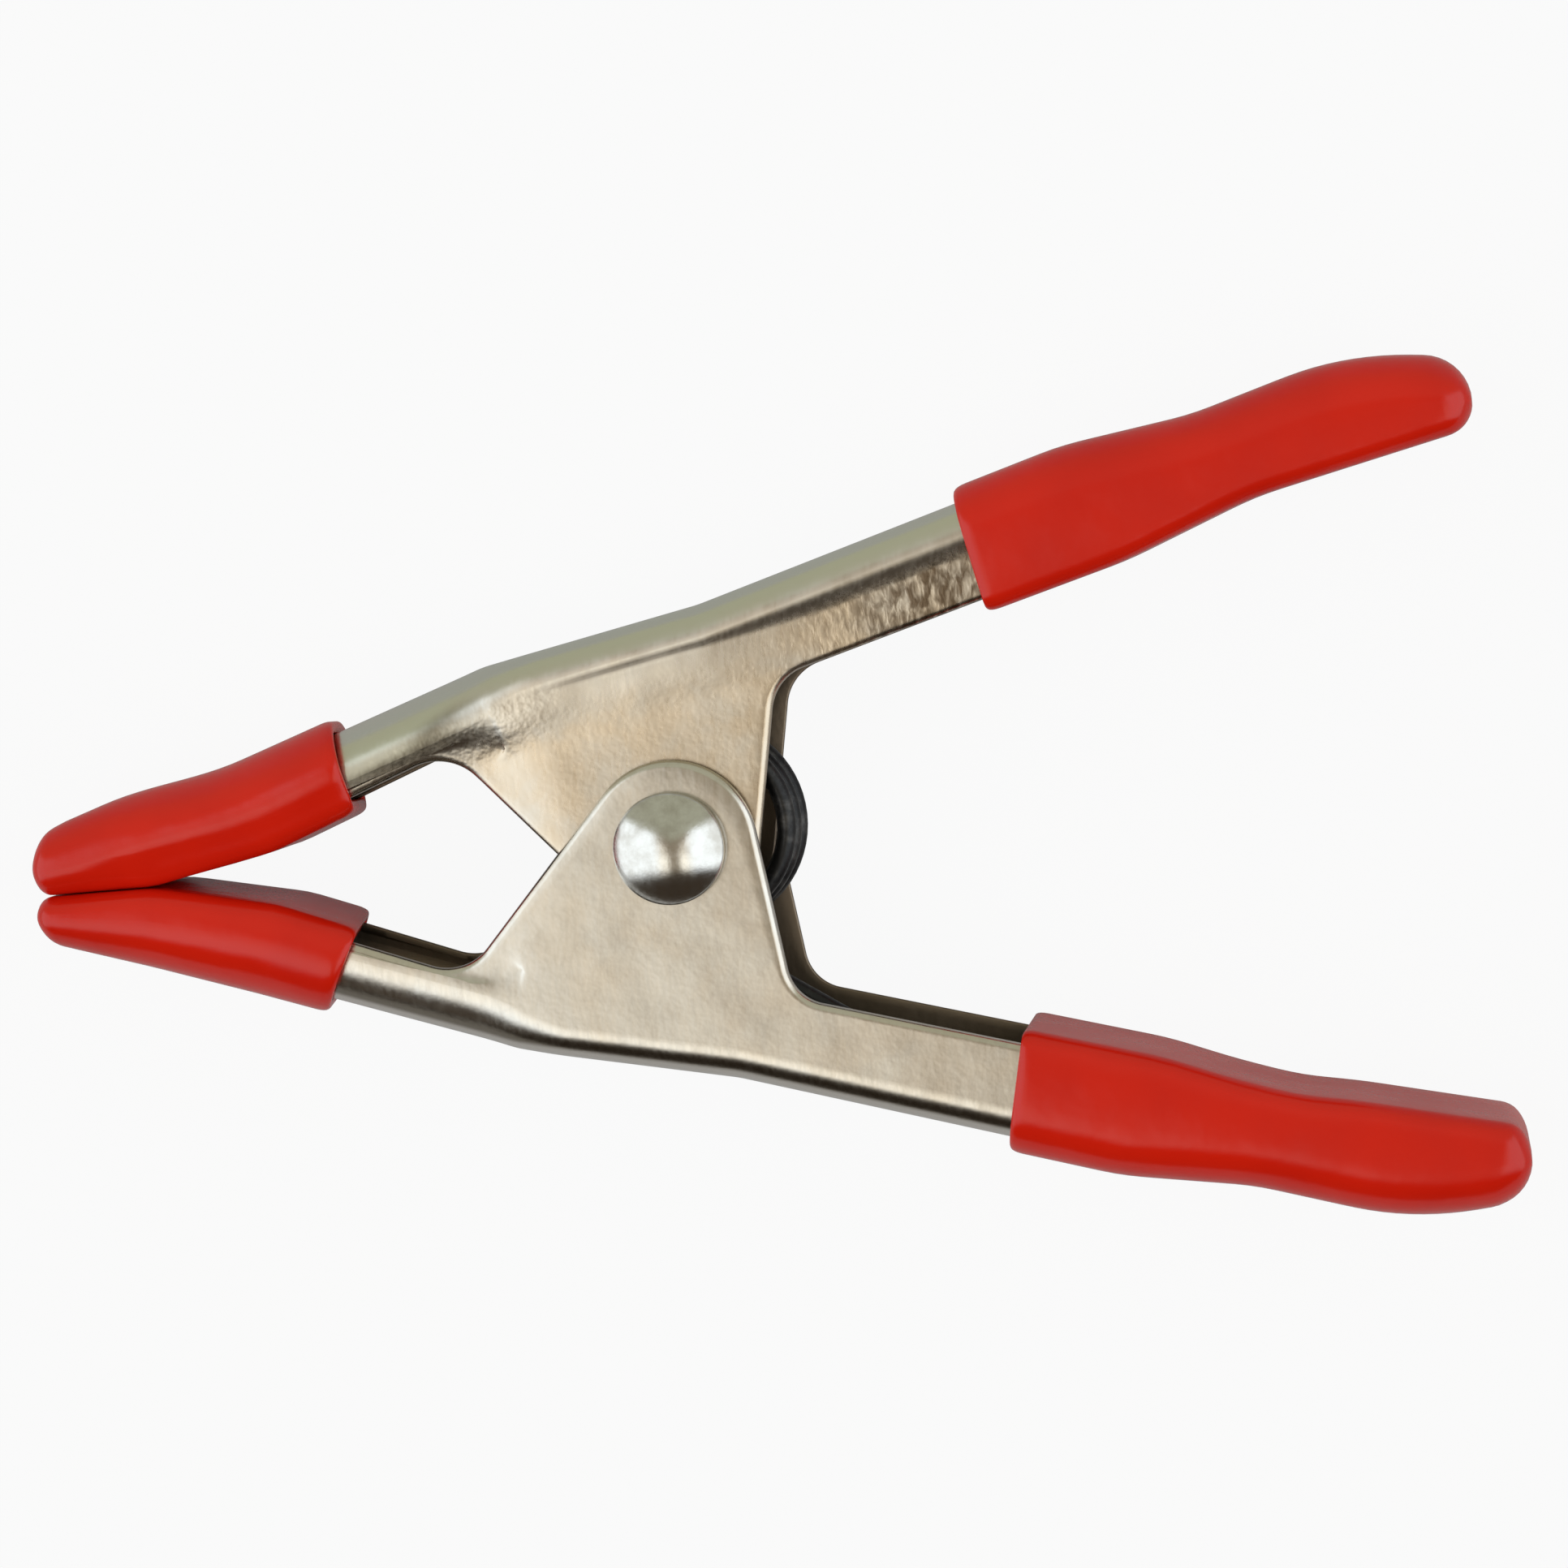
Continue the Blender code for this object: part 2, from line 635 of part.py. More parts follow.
jaw_sleeve_ends = {
    "lower": (LOWER_JAW_SLEEVE_BACK_X, LOWER_JAW_SLEEVE_EDGE_X),
    "upper": (UPPER_JAW_SLEEVE_BACK_X, UPPER_JAW_SLEEVE_EDGE_X),
}
grip_outline = grip_corners(GRIP_BACK_X, GRIP_EDGE_X)
grip_tip = grip_outline.index(handle_corners[0])

upper_pieces = []
for label, side in (("lower", -1), ("upper", 1)):
    jaw_outline = jaw_sleeve_corners(*jaw_sleeve_ends[label])
    upper_pieces = [
        add_lever(f"{label}_lever", side, side > 0, steel),
        add_sleeve(f"{label}_jaw_sleeve", side, jaw_outline, 1, JAW_SLEEVE_SLANT, red_vinyl),
        add_sleeve(f"{label}_handle_grip", side, grip_outline, grip_tip, 0, red_vinyl),
    ]
add_rivet("pivot_rivet", bright_steel)
add_spring("torsion_spring", black_wire)

pivot = link(bpy.data.objects.new("pivot", None), parts, middle_z)
for piece in upper_pieces:
    piece.parent = pivot
    piece.location = (0, 0, 0)

cutters.hide_render = True
for cutter in cutters.objects:
    cutter.hide_render = True
    cutter.display_type = "WIRE"
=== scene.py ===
import math

import bmesh
import bpy
import numpy as np
from mathutils import Matrix, Vector


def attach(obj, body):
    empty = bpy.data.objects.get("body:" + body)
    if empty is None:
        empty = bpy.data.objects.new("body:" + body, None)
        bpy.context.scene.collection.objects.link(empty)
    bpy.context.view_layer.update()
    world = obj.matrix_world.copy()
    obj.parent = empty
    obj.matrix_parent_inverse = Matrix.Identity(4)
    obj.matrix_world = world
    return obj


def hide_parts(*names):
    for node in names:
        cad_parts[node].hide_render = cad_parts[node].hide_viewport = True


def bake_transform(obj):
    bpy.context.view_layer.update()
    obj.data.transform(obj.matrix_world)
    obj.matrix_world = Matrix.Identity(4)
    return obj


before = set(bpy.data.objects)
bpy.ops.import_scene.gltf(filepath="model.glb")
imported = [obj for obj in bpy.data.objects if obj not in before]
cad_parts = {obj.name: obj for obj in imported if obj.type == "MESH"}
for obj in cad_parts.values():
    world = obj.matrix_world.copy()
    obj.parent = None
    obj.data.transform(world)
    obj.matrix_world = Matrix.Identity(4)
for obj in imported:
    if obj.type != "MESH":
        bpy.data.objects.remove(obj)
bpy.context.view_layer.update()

# A hand spring clamp: pressed and nickel plated levers on a domed rivet, red dipped sleeves.
# Sizes are in millimetres from the pivot, x to the handles and y up to the upper lever's back.
mm = 0.001
middle = 10.2        # the clamp's middle plane above the floor
scene = bpy.context.scene
print("frame:", ", ".join(sorted(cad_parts)))


class Signal:
    # an output socket that can be used in a plain expression
    def __init__(self, tree, socket):
        self.tree, self.socket = tree, socket

    def combine(self, operation, first, second):
        return self.tree.node("ShaderNodeMath", {"operation": operation}, {0: first, 1: second})

    def __add__(self, other):
        return self.combine("ADD", self, other)

    def __sub__(self, other):
        return self.combine("SUBTRACT", self, other)

    def __mul__(self, other):
        return self.combine("MULTIPLY", self, other)

    def __truediv__(self, other):
        return self.combine("DIVIDE", self, other)

    def __rsub__(self, other):
        return self.combine("SUBTRACT", other, self)

    def __pow__(self, other):
        return self.combine("POWER", self, other)

    def __abs__(self):
        return self.combine("ABSOLUTE", self, 0)

    __radd__ = __add__
    __rmul__ = __mul__


class Tree:
    # the nodes of one material or of the world
    def __init__(self, owner):
        owner.use_nodes = True
        self.nodes, self.links = owner.node_tree.nodes, owner.node_tree.links
        self.nodes.clear()

    def node(self, kind, settings=None, sockets=None, out=0):
        made = self.nodes.new(kind)
        for name, value in (settings or {}).items():
            setattr(made, name, value)
        for name, value in (sockets or {}).items():
            if isinstance(value, Signal):
                self.links.new(value.socket, made.inputs[name])
            elif isinstance(value, tuple) and len(value) == 3 and made.inputs[name].type == "RGBA":
                made.inputs[name].default_value = (*value, 1)
            else:
                made.inputs[name].default_value = value
        return Signal(self, made.outputs[out]) if len(made.outputs) else None

    def outputs(self, signal):
        # all outputs of the signal's node, by name
        return {socket.name: Signal(self, socket) for socket in signal.socket.node.outputs}

    def mix(self, share, first, second):
        return self.node("ShaderNodeMix", {"data_type": "RGBA"}, {0: share, 6: first, 7: second}, 2)

    def step(self, value, low, high, least=0.0, most=1.0):
        return self.node("ShaderNodeMapRange", {"interpolation_type": "SMOOTHSTEP"},
                         {0: value, 1: low, 2: high, 3: least, 4: most})

    def noise(self, place, size, detail=2.0, rough=0.5, warp=0.0):
        # size is the width of one blotch in mm; place is in metres
        return self.node("ShaderNodeTexNoise", {}, {
            "Vector": place, "Scale": 1 / (size * mm), "Detail": detail, "Roughness": rough,
            "Distortion": warp})

    def stretch(self, place, factors):
        return self.node("ShaderNodeVectorMath", {"operation": "MULTIPLY"}, {0: place, 1: factors})

    def place(self):
        return self.node("ShaderNodeTexCoord", {}, {}, "Object")

    def split(self, vector):
        parts = self.outputs(self.node("ShaderNodeSeparateXYZ", {}, {0: vector}))
        return [parts[axis] for axis in "XYZ"]

    def stored(self, name):
        return self.node("ShaderNodeAttribute", {"attribute_name": name}, {}, "Fac")

    def bump(self, height, depth, strength=1.0):
        return self.node("ShaderNodeBump", {}, {
            "Height": height, "Distance": depth * mm, "Strength": strength})

    def finish(self, sockets):
        surface = self.node("ShaderNodeBsdfPrincipled", {}, sockets)
        self.node("ShaderNodeOutputMaterial", {}, {"Surface": surface})


def newMaterial(name):
    material = bpy.data.materials.new(name)
    return material, Tree(material)


def smooth(value, low, high):
    share = np.clip((value - low) / (high - low), 0, 1)
    return share * share * (3 - 2 * share)


def between(pair, share):
    return pair[0] + (pair[1] - pair[0]) * share


def tangentAngle(point, radius, turn):
    # where a line from the point touches a circle round the origin, on the side that turn gives
    return math.atan2(point[1], point[0]) + turn * math.acos(radius / math.hypot(*point[:2]))


def cornerArcs(corners, stepAngle=math.radians(3)):
    # an open path through (x, y, radius) corners; one list of points for each corner
    points = np.array([corner[:2] for corner in corners], float)
    legs = np.diff(points, axis=0)
    lengths = np.hypot(*legs.T)
    ways = legs / lengths[:, None]
    turns, tangents = [0.0], [0.0]
    for i in range(1, len(corners) - 1):
        before, after = ways[i - 1], ways[i]
        turns.append(math.atan2(before[0] * after[1] - before[1] * after[0], before @ after))
        tangents.append(corners[i][2] * math.tan(abs(turns[i]) / 2))
    turns.append(0.0)
    tangents.append(0.0)
    rooms = [1.0] * len(corners)          # a corner's radius shrinks where its legs are short
    for i, length in enumerate(lengths):
        room = 0.98 * length / max(tangents[i] + tangents[i + 1], 1e-6)
        rooms[i], rooms[i + 1] = min(rooms[i], room), min(rooms[i + 1], room)
    arcs = []
    for i, point in enumerate(points):
        tangent = tangents[i] * rooms[i]
        if tangent < 1e-4:
            arcs.append([point])
            continue
        sign = math.copysign(1, turns[i])
        start = point - ways[i - 1] * tangent
        radius = tangent / math.tan(abs(turns[i]) / 2)
        centre = start + sign * radius * np.array([-ways[i - 1][1], ways[i - 1][0]])
        steps = max(2, math.ceil(abs(turns[i]) / stepAngle))
        spoke = start - centre
        arc = []
        for angle in np.linspace(0, turns[i], steps + 1):
            c, s = math.cos(angle), math.sin(angle)
            arc.append(centre + np.array([c * spoke[0] - s * spoke[1],
                                          s * spoke[0] + c * spoke[1]]))
        arcs.append(arc)
    return arcs


def roundedPath(corners):
    points = [point for arc in cornerArcs(corners, math.radians(1.5)) for point in arc]
    kept = [points[0]] + [b for a, b in zip(points, points[1:]) if math.dist(a, b) > 1e-4]
    return np.array(kept)


def lengthsOf(path):
    return np.concatenate([[0], np.cumsum(np.hypot(*np.diff(path, axis=0).T))])


def pointsAt(path, lengths):
    own = lengthsOf(path)
    return np.stack([np.interp(lengths, own, path[:, axis]) for axis in (0, 1)], axis=1)


def leftNormals(path, lengths):
    own = lengthsOf(path)
    ways = np.gradient(path, own, axis=0)
    normals = np.stack([-ways[:, 1], ways[:, 0]], axis=1)
    found = np.stack([np.interp(lengths, own, normals[:, axis]) for axis in (0, 1)], axis=1)
    return found / np.hypot(*found.T)[:, None]


def nearest(path, point):
    return float(lengthsOf(path)[np.argmin(np.hypot(*(path - np.array(point)).T))])


def lineHeight(first, second, x):
    return first[1] + (second[1] - first[1]) * (x - first[0]) / (second[0] - first[0])


def grownOutline(corners, distances):
    # every edge of a closed outline moved out by its own distance, arcs kept concentric
    ends = list(zip(corners, corners[1:] + corners[:1]))
    clockwise = math.copysign(1, sum((b[0] - a[0]) * (b[1] + a[1]) for a, b in ends))
    lines = []
    for (a, b), distance in zip(ends, distances):
        way = np.subtract(b[:2], a[:2]) / math.dist(a[:2], b[:2])
        lines.append((np.array(a[:2]) + clockwise * distance * np.array([-way[1], way[0]]), way))
    result = []
    for i, corner in enumerate(corners):
        (p, wayIn), (q, wayOut) = lines[i - 1], lines[i]
        turn = wayIn[0] * wayOut[1] - wayIn[1] * wayOut[0]
        gap = q - p
        place = q
        if abs(turn) >= 1e-6:
            place = p + wayIn * (gap[0] * wayOut[1] - gap[1] * wayOut[0]) / turn
        move = min(distances[i - 1], distances[i])
        radius = corner[2] + (move if turn * clockwise < 0 else -move) if corner[2] else 0
        result.append((*place, max(radius, 0)))
    return result


def meshPiece(name, points, faces, material, stored=None, lift=middle):
    # points in mm about a plane that lies lift above the floor
    mesh = bpy.data.meshes.new(name)
    placed = (np.asarray(points, float) + (0, 0, lift)) * mm
    mesh.from_pydata(placed.tolist(), [], faces)
    for label, values in (stored or {}).items():
        mesh.attributes.new(label, "FLOAT", "POINT").data.foreach_set("value", values)
    work = bmesh.new()
    work.from_mesh(mesh)
    bmesh.ops.recalc_face_normals(work, faces=work.faces)
    work.to_mesh(mesh)
    work.free()
    mesh.materials.append(material)
    mesh.shade_smooth()
    piece = bpy.data.objects.new(name, mesh)
    scene.collection.objects.link(piece)
    return piece


def gridFaces(rings, around, capped=True):
    index = np.arange(rings * around).reshape(rings, around)
    beside = np.roll(index, -1, axis=1)
    quads = np.stack([index[:-1], beside[:-1], beside[1:], index[1:]], axis=-1).reshape(-1, 4)
    faces = quads.tolist()
    if capped:
        faces += [index[0][::-1].tolist(), index[-1].tolist()]
    return faces


def turnedPiece(name, profile, material, steps=72):
    # the profile is (radius, height) from one end of the axis to the other
    turns = np.linspace(0, 2 * math.pi, steps, endpoint=False)
    inner = [(r, z) for r, z in profile if r > 0]
    points = [(r * math.cos(a), r * math.sin(a), z) for r, z in inner for a in turns]
    faces = gridFaces(len(inner), steps, capped=False)
    for end, ring in ((profile[0], 0), (profile[-1], len(inner) - 1)):
        points.append((0, 0, end[1]))
        first = ring * steps
        faces += [(first + i, first + (i + 1) % steps, len(points) - 1) for i in range(steps)]
    return meshPiece(name, points, faces, material)


def bore(piece, radius, reach, material):
    # a round hole through the piece on the pivot's axis
    profile = [(0, -reach), (radius, -reach), (radius, reach), (0, reach)]
    cutter = turnedPiece("cutter", profile, material)
    cut = piece.modifiers.new("pivot hole", "BOOLEAN")
    cut.operation, cut.object, cut.solver = "DIFFERENCE", cutter, "EXACT"
    graph = bpy.context.evaluated_depsgraph_get()
    mesh = bpy.data.meshes.new_from_object(piece.evaluated_get(graph))
    piece.modifiers.clear()
    old = piece.data
    piece.data = mesh
    bpy.data.meshes.remove(old)
    bpy.data.objects.remove(cutter)


camera = {
    "aim": (12.2, 5.6, 0.0),      # mm, in the clamp's middle plane
    "distance": 489.3,            # mm
    "lean": 9.13,                 # degrees off straight down
    "leanTowards": 22.8,          # degrees from +x
    "turn": 5.17,                 # degrees, the picture's upward direction, from +y towards +x
    "lens": 99.0, "sensor": 36.0, "clip": (0.01, 100),
}


def placeCamera(s):
    lean, towards, turn = (math.radians(s[name]) for name in ("lean", "leanTowards", "turn"))
    back = Vector((math.sin(lean) * math.cos(towards), math.sin(lean) * math.sin(towards),
                   math.cos(lean)))
    up = Vector((math.sin(turn), math.cos(turn), 0))
    up = (up - back * up.dot(back)).normalized()
    right = up.cross(back)
    spot = (Vector(s["aim"]) + Vector((0, 0, middle)) + back * s["distance"]) * mm
    data = bpy.data.cameras.new("bench camera")
    data.lens, data.sensor_width = s["lens"], s["sensor"]
    data.clip_start, data.clip_end = s["clip"]
    seen = bpy.data.objects.new("bench camera", data)
    seen.matrix_world = Matrix.Translation(spot) @ Matrix((right, up, back)).transposed().to_4x4()
    scene.collection.objects.link(seen)
    scene.camera = seen


floorSettings = {
    "reach": 9000, "steps": 12, "height": -0.05,   # mm to each side, squares on a side, mm
    "colour": (0.42, 0.42, 0.43), "fleck": 0.99, "fleckSize": 2.0, "rough": 0.9,
    "glow": 0.93,                 # how much of what the camera sees of it is plain white
    "mirrored": 0.12,             # the same for what metal and vinyl show of it
}


def addFloor(s):
    material, t = newMaterial("pale floor")
    rays = t.outputs(t.node("ShaderNodeLightPath"))
    grain = t.noise(t.place(), s["fleckSize"], 3)
    paper = t.node("ShaderNodeBsdfPrincipled", {}, {
        "Base Color": t.mix(grain, s["colour"], tuple(c * s["fleck"] for c in s["colour"])),
        "Roughness": s["rough"]})
    glow = t.node("ShaderNodeEmission", {}, {"Color": (1, 1, 1), "Strength": 1.0})
    share = rays["Is Camera Ray"] * s["glow"]
    share += (rays["Is Glossy Ray"] + rays["Is Transmission Ray"]) * s["mirrored"]
    surface = t.node("ShaderNodeMixShader", {}, {0: share, 1: paper, 2: glow})
    t.node("ShaderNodeOutputMaterial", {}, {"Surface": surface})
    sides = np.linspace(-s["reach"], s["reach"], s["steps"] + 1)
    points = [(x, y, s["height"]) for y in sides for x in sides]
    corners = np.arange(len(points)).reshape(len(sides), -1)
    faces = np.stack([corners[:-1, :-1], corners[:-1, 1:], corners[1:, 1:], corners[1:, :-1]],
                     axis=-1).reshape(-1, 4)
    floor = meshPiece("pale_floor", points, faces.tolist(), material, lift=0)


# Lights and edges are placed by the tilt of a surface that mirrors them straight up,
# across the picture and up it, from 0 for a level one to 1 for an upright one.
room = {
    "strength": 1.0,
    "lamp": (1.50, 1.58, 1.62),         # two long soft lamps overhead, left and right
    "lampInner": (1.04, 0.95, 0.80),    # their dimmer, warmer inner ends
    "lampLow": (1.60, 1.52, 1.34),      # the same ends further towards -y
    "gap": (0.34, 0.28, 0.20),          # the dim strip between them
    "behind": (0.50, 0.50, 0.385),      # towards +y, the top of the picture
    "front": (0.050, 0.036, 0.024),     # towards -y
    "haze": (0.46, 0.45, 0.42),         # just over the floor's far edge
    "centre": 0.02,                     # the lamps lie to both sides of this tilt
    "frontToBehind": (-0.22, 0.06), "innerToLow": (-0.045, -0.15), "innerToLamp": (0.12, 0.26),
    "partY": (-0.10, 0.25), "partWidth": (0.055, 0.21), "partEdge": (0.06, -0.03),
    "topEdge": (0.14, 0.03), "topSlope": 0.42, "lowEdge": (-0.36, -0.22), "lowSlope": 0.08,
    "hazeHeight": (0.06, 0.02),
}


def lightRoom(s):
    world = bpy.data.worlds.new("soft studio")
    scene.world = world
    t = Tree(world)
    x, y, z = t.split(t.node("ShaderNodeTexCoord", {}, {}, "Generated"))
    length = (z * 2 + 2.001) ** 0.5      # of this direction plus straight up
    across, up = x / length, y / length
    out = abs(across - s["centre"])
    colour = t.mix(t.step(up, *s["frontToBehind"]), s["front"], s["behind"])
    ends = t.mix(t.step(up, *s["innerToLow"]), s["lampInner"], s["lampLow"])
    lamp = t.mix(t.step(out, *s["innerToLamp"]), ends, s["lamp"])
    part = t.step(up, *s["partY"], *s["partWidth"])
    lamp = t.mix(t.step(out - part, *s["partEdge"]), lamp, s["gap"])
    top, low = up - out * s["topSlope"], up + out * s["lowSlope"]
    colour = t.mix(t.step(top, *s["topEdge"]) * t.step(low, *s["lowEdge"]), colour, lamp)
    colour = t.mix(t.step(z, *s["hazeHeight"]), colour, s["haze"])
    surface = t.node("ShaderNodeBackground", {}, {"Color": colour, "Strength": s["strength"]})
    t.node("ShaderNodeOutputWorld", {}, {"Surface": surface})
    scene.view_settings.view_transform = "Standard"


placeCamera(camera)
addFloor(floorSettings)
lightRoom(room)
print("camera, floor and light")


# Corners of the side view are (x, y, radius). The back is the closed side of the channel.
lever = {
    "sheet": 1.2, "halfWidth": 8.5, "cornerRadius": 3.5,
    "jawReach": 70.4, "jawTipBack": 4.75, "jawTipDrop": 2.2, "jawFace": 1.75,
    "handleReach": 88.4, "handleTipBack": 45.3, "handleTipDrop": 4.4,
    "handleTipEdge": 39.6, "handleTipRise": 1.1,
    "shoulder": (-20.5, 21.8, 14), "crown": (5.0, 26.8, 14), "palmStart": (47.5, 39.2, 14),
    "palmWaist": (62.0, 41.3, 14), "palmSwell": (79.0, 46.3, 14),
    "faceStart": (-60.5, 1.75, 14), "faceRise": (-46.5, 4.6, 14), "notch": (-24.9, 12.75, 6.0),
    "earRadius": 9.8, "earShoulder": (12.35, 17.9, 5.0), "underHandle": (46, 27.2),
    "grooveStart": (52.3, 29.0, 14), "grooveEnd": (67.2, 34.85, 14),
    "tipRadius": 4.8, "tipEdgeRadius": 2.5, "jawTipRadius": 2.0,
    "edgeRound": 0.80, "innerEdgeRound": 0.22, "hole": 3.55, "holeReach": 14,
    "fineDepth": 4.6,               # how far below the bend the rows stay close, for the joggle
    "outerRows": (10, 14, 9),       # round the bend, down the joggle, on to the cut edge
    "innerRows": (6, 12, 9), "edgeRows": (6, 4), "leastRadius": 0.15,
    "jawBend": 5.7, "jawFrom": -14.0, "jawFull": -25.0,     # the jaw arm is rounder
    "lower": {"lean": (0.30, 5.8)},                         # how far its sides lean in, from where
    "upper": {"lean": (1.1, 3.0), "earShoulder": (13.2, 17.9, 5.5)},
}
joggle = {
    "depth": 1.5, "belowBack": 3.45, "handleX": (38.0, 46.0),
    "ramp": (-15.7, 17.4, -32.5),   # a point on the slope at the jaw end, and its run in degrees
    "rampWidth": (-5.6, 4.6),
    "armX": (2.0, 22.0),            # over this stretch the crease gets deeper and wider
    "first": (0.24, 0.66),          # the crease's share of the depth, before and on the arm
    "run": (1.5, 2.9), "field": 8.0,
}


def backPath(s):
    return roundedPath([
        (-s["jawReach"], s["jawTipBack"] - s["jawTipDrop"], 0),
        (-s["jawReach"], s["jawTipBack"], s["jawTipRadius"]),
        s["shoulder"], s["crown"], s["palmStart"], s["palmWaist"], s["palmSwell"],
        (s["handleReach"], s["handleTipBack"], s["tipRadius"]),
        (s["handleReach"], s["handleTipBack"] - s["handleTipDrop"], 0),
    ])


def edgePath(s):
    radius = s["earRadius"]
    start = tangentAngle(s["notch"], radius, 1) - 2 * math.pi
    end = tangentAngle(s["earShoulder"], radius, -1)
    ear = [(radius * math.cos(a), radius * math.sin(a), 0) for a in np.linspace(start, end, 60)]
    return roundedPath([
        (-s["jawReach"], s["jawFace"], 0), s["faceStart"], s["faceRise"], s["notch"], *ear,
        s["earShoulder"], s["grooveStart"], s["grooveEnd"],
        (s["handleReach"], s["handleTipEdge"], s["tipEdgeRadius"]),
        (s["handleReach"], s["handleTipEdge"] + s["handleTipRise"], 0),
    ])


def acrossRamp(s, x, y):
    # the distance past the slope at the jaw end, for numbers and for shader signals alike
    turn = math.radians(s["ramp"][2])
    return (x - s["ramp"][0]) * -math.sin(turn) - (y - s["ramp"][1]) * math.cos(turn)


def leanShare(inset, start, height):
    return smooth(inset, start, np.maximum(height, start + 3.5) + 0.5)


def pressedShare(s, x, y, inset):
    # 0 on the lever's own side, 1 on the floor of the pressed field
    arm = smooth(x, *s["armX"])
    first, run = between(s["first"], arm), between(s["run"], arm)
    start = s["belowBack"]
    crease = smooth(inset, start, start + run)
    slope = smooth(inset, start + run * 0.5, start + run + s["field"])
    gate = smooth(acrossRamp(s, x, y), *s["rampWidth"]) * (1 - smooth(x, *s["handleX"]))
    return gate * (first * crease + (1 - first) * slope)


def leverSheet(name, side, pressed, own, material):
    # ribs run down the side from the back to the cut edge; inset is the depth below the back
    s = {**lever, **own}
    back, edge = backPath(s), edgePath(s)
    backEnd, edgeEnd = lengthsOf(back)[-1], lengthsOf(edge)[-1]
    notch, shoulder = nearest(edge, s["notch"][:2]), nearest(edge, s["earShoulder"][:2])

    def backLength(x):
        return float(np.interp(x, back[:, 0], lengthsOf(back)))

    stations = [  # how far along the back and the edge, and how many ribs up to there
        (0.0, 0.0, 0),
        (backLength(-47), nearest(edge, s["faceRise"][:2]), 18),
        (backLength(-27.5), notch - 4, 32),
        (backLength(-21), notch + 4, 18),
        (backLength(3), shoulder - 5, 96),
        (backLength(17), shoulder + 4, 26),
        (backLength(44), nearest(edge, s["underHandle"]), 54),
        (backEnd, edgeEnd, 40),
    ]
    onBack, onEdge = [np.array([0.0])], [np.array([0.0])]
    for (b0, e0, _), (b1, e1, count) in zip(stations, stations[1:]):
        onBack.append(np.linspace(b0, b1, count + 1)[1:])
        onEdge.append(np.linspace(e0, e1, count + 1)[1:])
    onBack, onEdge = np.concatenate(onBack), np.concatenate(onEdge)
    b, e = pointsAt(back, onBack), pointsAt(edge, onEdge)
    kept = np.clip(onBack, backLength(-66), backLength(82))      # the tips' ends are cut, not bent
    n = -leftNormals(back, kept)
    m = leftNormals(edge, np.clip(onEdge, 4, edgeEnd - 6))
    height = np.hypot(*(e - b).T)
    jawward = 1 - smooth(b[:, 0], s["jawFull"], s["jawFrom"])
    bend = np.minimum(between((s["cornerRadius"], s["jawBend"]), jawward), 0.9 * height)
    spare = np.clip(0.8 * height - bend, 0.02 * height, s["fineDepth"])
    trim = np.minimum(s["edgeRound"], 0.1 * height)[:, None]
    rows = []

    def addRow(place, z, inset, inside=0.0):
        rows.append((place, np.broadcast_to(z, height.shape), np.broadcast_to(inset, height.shape),
                     np.full(height.shape, inside)))

    def skin(depth, angles, joggleRows, midRows):
        own = np.maximum(bend - depth, s["leastRadius"])
        flat = s["halfWidth"] - bend
        inside = float(depth > 0)
        for share in (0, 0.5):
            addRow(b + n * depth, flat * share, 0, inside)
        for angle in np.radians(np.linspace(0, 90, angles)):
            inset = depth + own * (1 - math.cos(angle))
            addRow(b + n * inset[:, None], flat + own * math.sin(angle), inset, inside)
        for share in np.arange(1, joggleRows + 1) / joggleRows:
            inset = bend + spare * share
            addRow(b + n * inset[:, None], s["halfWidth"] - depth, inset, inside)
        low = b + n * (bend + spare)[:, None]
        high = e + m * trim
        for share in np.arange(1, midRows) / midRows:
            reach = (bend + spare) * (1 - share) + height * share
            addRow(low + (high - low) * share, s["halfWidth"] - depth, reach, inside)

    skin(0, *s["outerRows"])
    for angle in np.radians(np.linspace(0, 90, s["edgeRows"][0])):
        addRow(e + m * trim * (1 - math.sin(angle)),
               s["halfWidth"] - s["edgeRound"] * (1 - math.cos(angle)), height)
    outerRows = len(rows)
    skin(s["sheet"], *s["innerRows"])
    inner = rows[outerRows:][::-1]
    del rows[outerRows:]
    small = s["innerEdgeRound"]
    for angle in np.radians(np.linspace(0, 90, s["edgeRows"][1])):
        addRow(e + m * np.minimum(trim, small * (1 - math.cos(angle))),
               s["halfWidth"] - s["sheet"] + small * (1 - math.sin(angle)), height, 1.0)
    rows += inner
    place, depth, inset, inside = (np.stack(layer, axis=1) for layer in zip(*rows))
    share = np.zeros_like(inset)
    if pressed:
        share = pressedShare(joggle, place[..., 0], place[..., 1], inset)
    leaning = leanShare(inset, s["lean"][1], height[:, None]) * jawward[:, None]
    depth = depth - joggle["depth"] * share - s["lean"][0] * leaning
    half = np.concatenate([place, depth[..., None]], axis=2)
    other = half[:, -1:0:-1] * (1, 1, -1)
    loop = np.concatenate([half, other], axis=1) * (1, side, 1)

    def bothSides(values):
        return np.concatenate([values, values[:, -1:0:-1]], axis=1).ravel()

    piece = meshPiece(name, loop.reshape(-1, 3), gridFaces(*loop.shape[:2]), material, {
        "pressed": bothSides(share), "inset": bothSides(inset), "inside": bothSides(inside)})
    bore(piece, s["hole"], s["holeReach"], material)
    piece.data.set_sharp_from_angle(angle=math.radians(50))
    return piece


